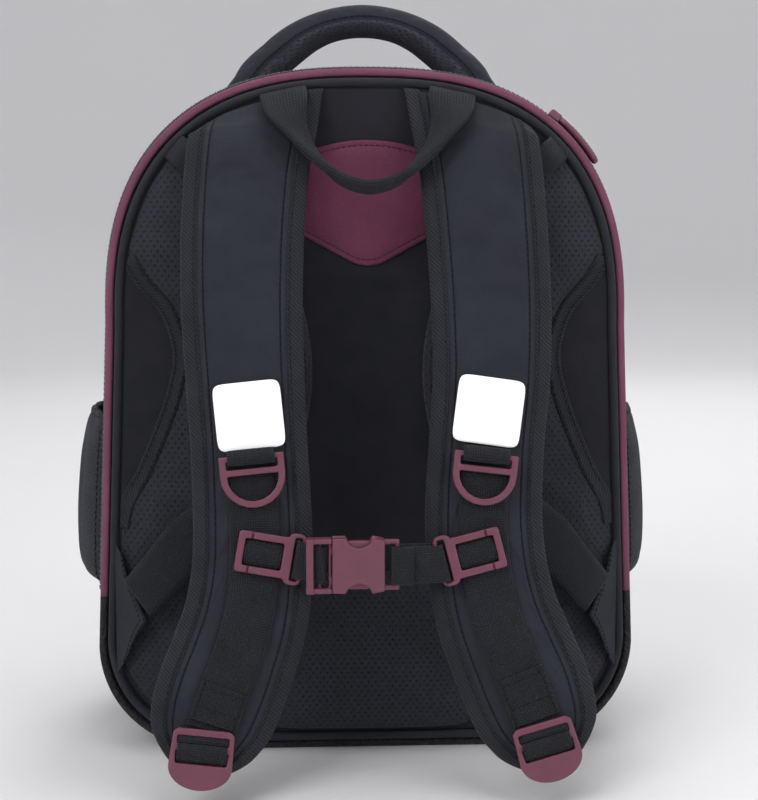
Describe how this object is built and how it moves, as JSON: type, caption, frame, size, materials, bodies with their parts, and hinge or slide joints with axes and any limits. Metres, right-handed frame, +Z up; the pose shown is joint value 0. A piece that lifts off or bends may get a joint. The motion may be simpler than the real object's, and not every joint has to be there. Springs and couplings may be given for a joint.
{
  "type": "school backpack",
  "caption": "Arched stiff-walled school backpack with padded back, shoulder straps joined by a buckled chest strap, carry handle and side pockets.",
  "frame": {"origin": "middle of the width on the flat base, half way between the back panel and the front", "axes": "+Z up, -Y out from the side worn on the back, +X to the right as that side is seen"},
  "size_m": [0.3338, 0.262, 0.4147],
  "materials": {
    "body_fabric": "woven polyester, charcoal",
    "panel_fabric": "smooth close-woven polyester, dark charcoal",
    "air_mesh": "perforated padded mesh, charcoal",
    "strap_fabric": "fine woven polyester, charcoal",
    "tape": "ribbed woven tape and webbing, charcoal",
    "boot_fabric": "coarse coated weave, dark charcoal",
    "trim_fabric": "fine twill, dusky pink",
    "plastic": "moulded acetal, dusky pink",
    "label": "coated patch, dusky pink",
    "reflector": "retroreflective film, silver white"
  },
  "bodies": {
    "pack": {"body_shell": "body_fabric", "base_boot": "boot_fabric", "back_board": "panel_fabric", "piping": "tape", "trim_band": "trim_fabric", "rim_band": "boot_fabric", "zip_tape": "tape", "zip_slider": "plastic", "zip_pull": "plastic", "lumbar_pad": "air_mesh", "label_patch": "label", "carry_handle": "body_fabric", "haul_loop": "tape", "buckle_plug": "plastic", "buckle_socket": "plastic", "pad_left": "air_mesh", "pad_tape_left": "tape", "side_pocket_left": "air_mesh", "gusset_left": "body_fabric", "lower_webbing_left": "tape", "strap_tab_left": "tape", "strap_left": "strap_fabric", "strap_binding_left": "tape", "reflector_left": "reflector", "ring_roll_left": "tape", "strap_webbing_left": "tape", "adjuster_left": "plastic", "adjuster_roll_left": "tape", "chest_clip_left": "plastic", "chest_webbing_left": "tape", "pad_right": "air_mesh", "pad_tape_right": "tape", "side_pocket_right": "air_mesh", "gusset_right": "body_fabric", "lower_webbing_right": "tape", "strap_tab_right": "tape", "strap_right": "strap_fabric", "strap_binding_right": "tape", "reflector_right": "reflector", "ring_roll_right": "tape", "strap_webbing_right": "tape", "adjuster_right": "plastic", "adjuster_roll_right": "tape", "chest_clip_right": "plastic", "chest_webbing_right": "tape"},
    "ring_left": {"d_ring_left": "plastic"},
    "ring_right": {"d_ring_right": "plastic"}
  },
  "joints": [
    {"name": "d_ring_left_swing", "type": "hinge", "parent": "pack", "child": "ring_left", "pos_m": [-0.06208, -0.14816, 0.1756], "axis": [-0.9957, -0.0069, -0.0924], "range_deg": [0, 150]},
    {"name": "d_ring_right_swing", "type": "hinge", "parent": "pack", "child": "ring_right", "pos_m": [0.05768, -0.14816, 0.17562], "axis": [-0.9932, 0.0069, 0.1164], "range_deg": [0, 150]}
  ]
}
